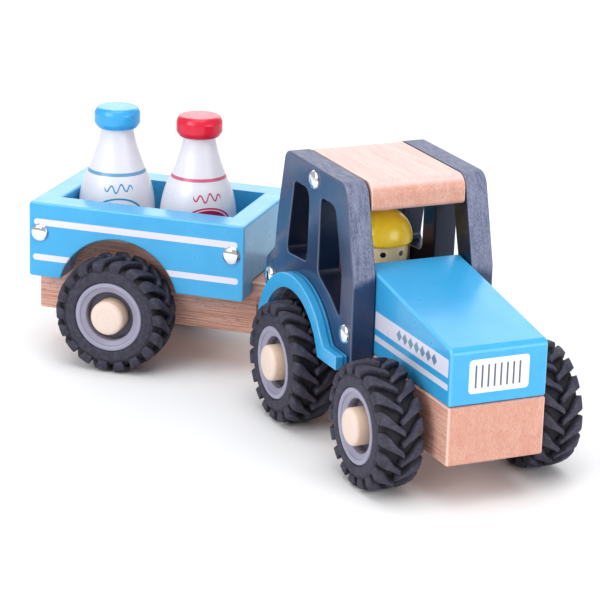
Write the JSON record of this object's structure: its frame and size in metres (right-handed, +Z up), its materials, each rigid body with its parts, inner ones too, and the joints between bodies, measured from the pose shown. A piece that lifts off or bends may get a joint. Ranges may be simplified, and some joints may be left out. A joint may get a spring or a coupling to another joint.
{
  "type": "toy tractor",
  "caption": "Wooden toy tractor with open cab, seated driver and free-rolling lugged wheels, pulling a hitched box trailer that carries two loose bottles.",
  "frame": {"origin": "on the ground under the centre of the whole object: tractor, trailer and load", "axes": "+X is the way the tractor drives, +Y its left side, +Z up"},
  "size_m": [0.2986, 0.1686, 0.1189],
  "materials": {
    "beech": "smooth sanded bare beech",
    "light_blue_paint": "semi-gloss light blue paint over wood",
    "navy_paint": "semi-gloss dark blue paint over wood",
    "chrome": "polished domed screw covers",
    "steel": "plain steel rod",
    "pale_wood": "turned pale wood plugs",
    "rim_plastic": "grey moulded plastic",
    "rubber": "soft dark rubber",
    "face_paint": "lacquered pale wood",
    "hat_yellow": "gloss yellow paint over wood",
    "bottle_white": "semi-gloss white paint over turned wood",
    "cap_blue": "gloss blue paint",
    "cap_red": "gloss red paint"
  },
  "bodies": {
    "tractor": {"axle_front": "steel", "axle_rear": "steel", "bonnet": "light_blue_paint", "cab_side_left": "navy_paint", "cab_side_right": "navy_paint", "chassis": "beech", "driver_body": "face_paint", "driver_hat": "hat_yellow", "fender_left": "light_blue_paint", "fender_right": "light_blue_paint", "hub_cap_front_left": "pale_wood", "hub_cap_front_right": "pale_wood", "hub_cap_rear_left": "pale_wood", "hub_cap_rear_right": "pale_wood", "roof_board": "beech", "screw_cap_front_left": "chrome", "screw_cap_front_right": "chrome", "screw_cap_rear_left": "chrome", "screw_cap_rear_right": "chrome", "screw_cap_top_left": "chrome", "screw_cap_top_right": "chrome", "seat_block": "beech"},
    "hitch_pin": {"hitch_pin": "steel"},
    "trailer": {"axle_trailer": "steel", "hub_cap_trailer_left": "pale_wood", "hub_cap_trailer_right": "pale_wood", "trailer_beam": "beech", "trailer_floor": "beech", "trailer_screw_cap_front_left": "chrome", "trailer_screw_cap_front_right": "chrome", "trailer_screw_cap_rear_left": "chrome", "trailer_screw_cap_rear_right": "chrome", "trailer_side_left": "light_blue_paint", "trailer_side_right": "light_blue_paint", "trailer_wall_front": "light_blue_paint", "trailer_wall_rear": "light_blue_paint"},
    "wheel_front_right": {"rim_front_right": "rim_plastic", "tyre_front_right": "rubber"},
    "wheel_front_left": {"rim_front_left": "rim_plastic", "tyre_front_left": "rubber"},
    "wheel_rear_right": {"rim_rear_right": "rim_plastic", "tyre_rear_right": "rubber"},
    "wheel_rear_left": {"rim_rear_left": "rim_plastic", "tyre_rear_left": "rubber"},
    "wheel_trailer_right": {"rim_trailer_right": "rim_plastic", "tyre_trailer_right": "rubber"},
    "wheel_trailer_left": {"rim_trailer_left": "rim_plastic", "tyre_trailer_left": "rubber"},
    "bottle_blue": {"bottle_blue": "bottle_white", "bottle_cap_blue": "cap_blue"},
    "bottle_red": {"bottle_red": "bottle_white", "bottle_cap_red": "cap_red"}
  },
  "joints": [
    {"name": "wheel_front_right_spin", "type": "hinge", "parent": "tractor", "child": "wheel_front_right", "pos_m": [0.11333, -0.00343, 0.0275], "axis": [0, 1, 0], "continuous": true},
    {"name": "wheel_front_left_spin", "type": "hinge", "parent": "tractor", "child": "wheel_front_left", "pos_m": [0.11333, 0.07117, 0.0275], "axis": [0, 1, 0], "continuous": true},
    {"name": "wheel_rear_right_spin", "type": "hinge", "parent": "tractor", "child": "wheel_rear_right", "pos_m": [0.02793, -0.00343, 0.0275], "axis": [0, 1, 0], "continuous": true},
    {"name": "wheel_rear_left_spin", "type": "hinge", "parent": "tractor", "child": "wheel_rear_left", "pos_m": [0.02793, 0.07117, 0.0275], "axis": [0, 1, 0], "continuous": true},
    {"name": "wheel_trailer_right_spin", "type": "hinge", "parent": "trailer", "child": "wheel_trailer_right", "pos_m": [-0.06332, -0.0533, 0.0275], "axis": [-0.7396, 0.673, 0], "continuous": true},
    {"name": "wheel_trailer_left_spin", "type": "hinge", "parent": "trailer", "child": "wheel_trailer_left", "pos_m": [-0.1216, -0.00026, 0.0275], "axis": [-0.7396, 0.673, 0], "continuous": true},
    {"name": "hitch_turn", "type": "hinge", "parent": "tractor", "child": "hitch_pin", "pos_m": [-0.03727, 0.03387, 0.0315], "axis": [0, 0, 1], "range_deg": [-107.7, 12.3]},
    {"name": "trailer_lift_off", "type": "slide", "parent": "hitch_pin", "child": "trailer", "axis": [0, 0, 1], "range_m": [0, 0.03]},
    {"name": "bottle_blue_lift", "type": "slide", "parent": "trailer", "child": "bottle_blue", "axis": [0, 0, 1], "range_m": [0, 0.06]},
    {"name": "bottle_red_lift", "type": "slide", "parent": "trailer", "child": "bottle_red", "axis": [0, 0, 1], "range_m": [0, 0.06]}
  ]
}
